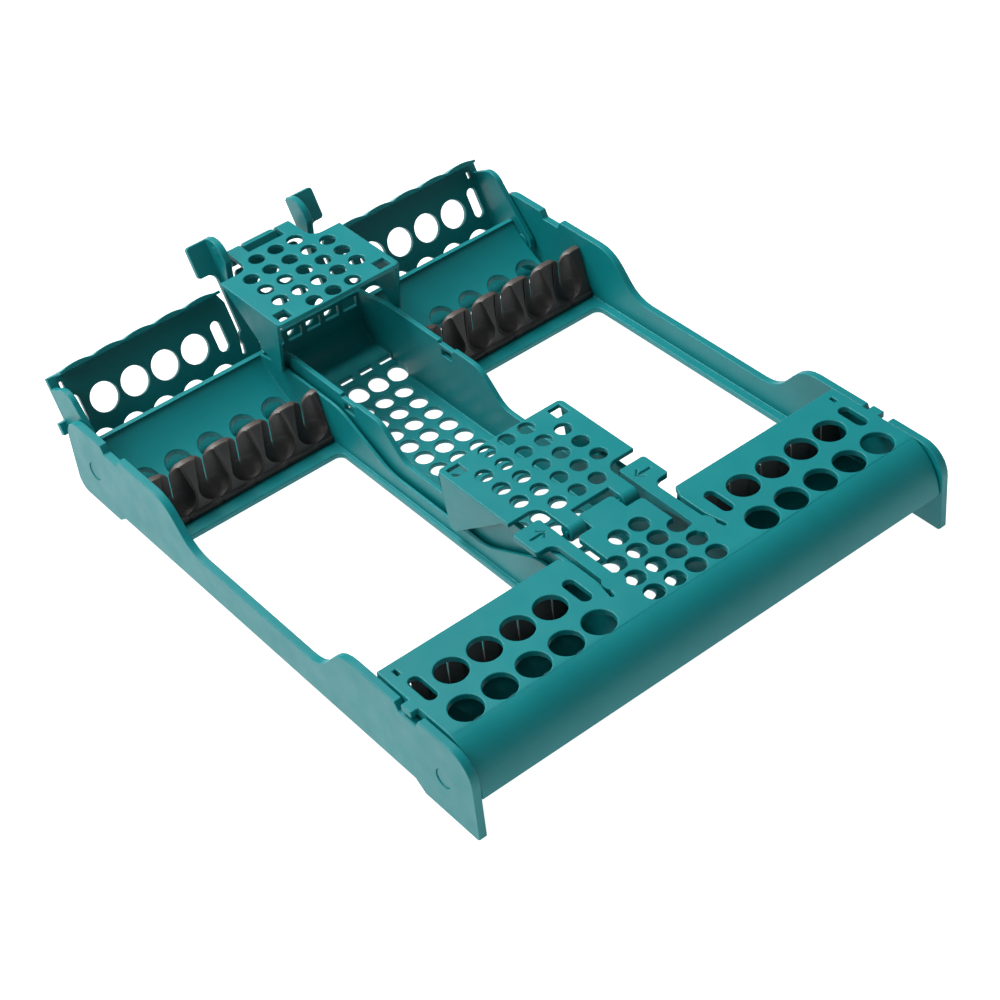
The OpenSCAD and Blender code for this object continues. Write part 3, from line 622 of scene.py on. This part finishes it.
def make_comb(name):
    """Lobes side by side, with a cup round each slit, as one closed piece."""
    sx = 1 if name.endswith("right_comb") else -1
    sy = 1 if name.startswith("back") else -1
    low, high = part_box(name)
    shift = high.y / MM - COMB_BACK if sy > 0 else low.y / MM + COMB_BACK
    bm = bmesh.new()
    # painted edge highlight and wear, set on each point of the comb's face
    edge_highlight_and_wear = bm.verts.layers.float.new("edge_highlight_and_wear")

    def put(x, y, z, highlight_and_wear):
        v = bm.verts.new((sx * x * MM, (sy * y + shift) * MM, z * MM))
        v[edge_highlight_and_wear] = highlight_and_wear
        return v

    def face(corners, other_way=False):
        bm.faces.new(corners[::-1] if (sx * sy > 0) == other_way else corners)

    for lobe in comb_lobes():
        make_lobe(lobe, put, face)
    bmesh.ops.remove_doubles(bm, verts=bm.verts, dist=COMB_MERGE * MM)
    bmesh.ops.recalc_face_normals(bm, faces=bm.faces)
    for part in bm.faces:
        part.smooth = True
    for edge in bm.edges:
        edge.smooth = not edge.is_manifold or edge.calc_face_angle(0.0) < COMB_CORNER
    mesh = bpy.data.meshes.new(name + "_moulded")
    bm.to_mesh(mesh)
    bm.free()
    mesh.materials.append(silicone)
    obj = bpy.data.objects.new(name + "_moulded", mesh)
    bpy.context.scene.collection.objects.link(obj)
    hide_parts(name)
    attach(obj, BODY_OF[name])


for name in NODES:
    if name.endswith("comb"):
        make_comb(name)


# floor, light and camera

def area_light(name, place, size, power):
    """A lamp that points at the origin."""
    data = bpy.data.lights.new(name, "AREA")
    data.shape = "RECTANGLE"
    data.size, data.size_y = size
    data.energy = power
    lamp = bpy.data.objects.new(name, data)
    bpy.context.scene.collection.objects.link(lamp)
    lamp.location = place
    lamp.rotation_euler = (-place).to_track_quat("-Z", "Y").to_euler()


def make_floor():
    """A plain floor that glows, so that it stays white under the part."""
    mesh = bpy.data.meshes.new("floor")
    corners = [(-1, -1), (1, -1), (1, 1), (-1, 1)]
    points = [(x * FLOOR_REACH, y * FLOOR_REACH, 0.0) for x, y in corners]
    mesh.from_pydata(points, [], [(0, 1, 2, 3)])
    floor = bpy.data.objects.new("floor", mesh)
    bpy.context.scene.collection.objects.link(floor)
    mat = bpy.data.materials.new("pale_floor")
    mat.use_nodes = True
    shader = mat.node_tree.nodes["Principled BSDF"]
    shader.inputs["Base Color"].default_value = PAPER
    shader.inputs["Roughness"].default_value = FLOOR_ROUGH
    shader.inputs["Specular IOR Level"].default_value = FLOOR_SHINE
    shader.inputs["Emission Color"].default_value = (1.0, 1.0, 1.0, 1.0)
    shader.inputs["Emission Strength"].default_value = FLOOR_GLOW
    mesh.materials.append(mat)


def make_camera():
    """The photograph's camera, rolled about its line of sight."""
    data = bpy.data.cameras.new("camera")
    data.lens = CAM_LENS
    data.sensor_width = CAM_SENSOR
    camera = bpy.data.objects.new("camera", data)
    bpy.context.scene.collection.objects.link(camera)
    ahead = (CAM_AIM - CAM_PLACE).normalized()
    level = ahead.cross(Vector((0, 0, 1))).normalized()
    up = level.cross(ahead)
    right = level * math.cos(CAM_ROLL) + up * math.sin(CAM_ROLL)
    top = right.cross(ahead)
    turn = Matrix((right, top, -ahead)).transposed().to_4x4()
    camera.matrix_world = Matrix.Translation(CAM_PLACE) @ turn
    bpy.context.scene.camera = camera


def make_world():
    """A studio that is light near the ground and darker overhead."""
    world = bpy.data.worlds.new("studio")
    world.use_nodes = True
    tree = world.node_tree
    back = tree.nodes["Background"]
    coords = tree.nodes.new("ShaderNodeTexCoord")
    parts = tree.nodes.new("ShaderNodeSeparateXYZ")
    ramp = tree.nodes.new("ShaderNodeValToRGB")
    ramp.color_ramp.interpolation = "EASE"
    ramp.color_ramp.elements[0].position = 0.0
    ramp.color_ramp.elements[0].color = STUDIO_LOW
    ramp.color_ramp.elements[1].position = STUDIO_TURN
    ramp.color_ramp.elements[1].color = STUDIO_HIGH
    tree.links.new(coords.outputs["Generated"], parts.inputs["Vector"])
    tree.links.new(parts.outputs["Z"], ramp.inputs["Fac"])
    tree.links.new(ramp.outputs["Color"], back.inputs["Color"])
    back.inputs["Strength"].default_value = STUDIO_POWER
    bpy.context.scene.world = world


make_floor()
make_camera()
make_world()
for name, (place, size, power) in LAMPS.items():
    area_light(name, place, size, power)
bpy.context.scene.view_settings.view_transform = "Standard"
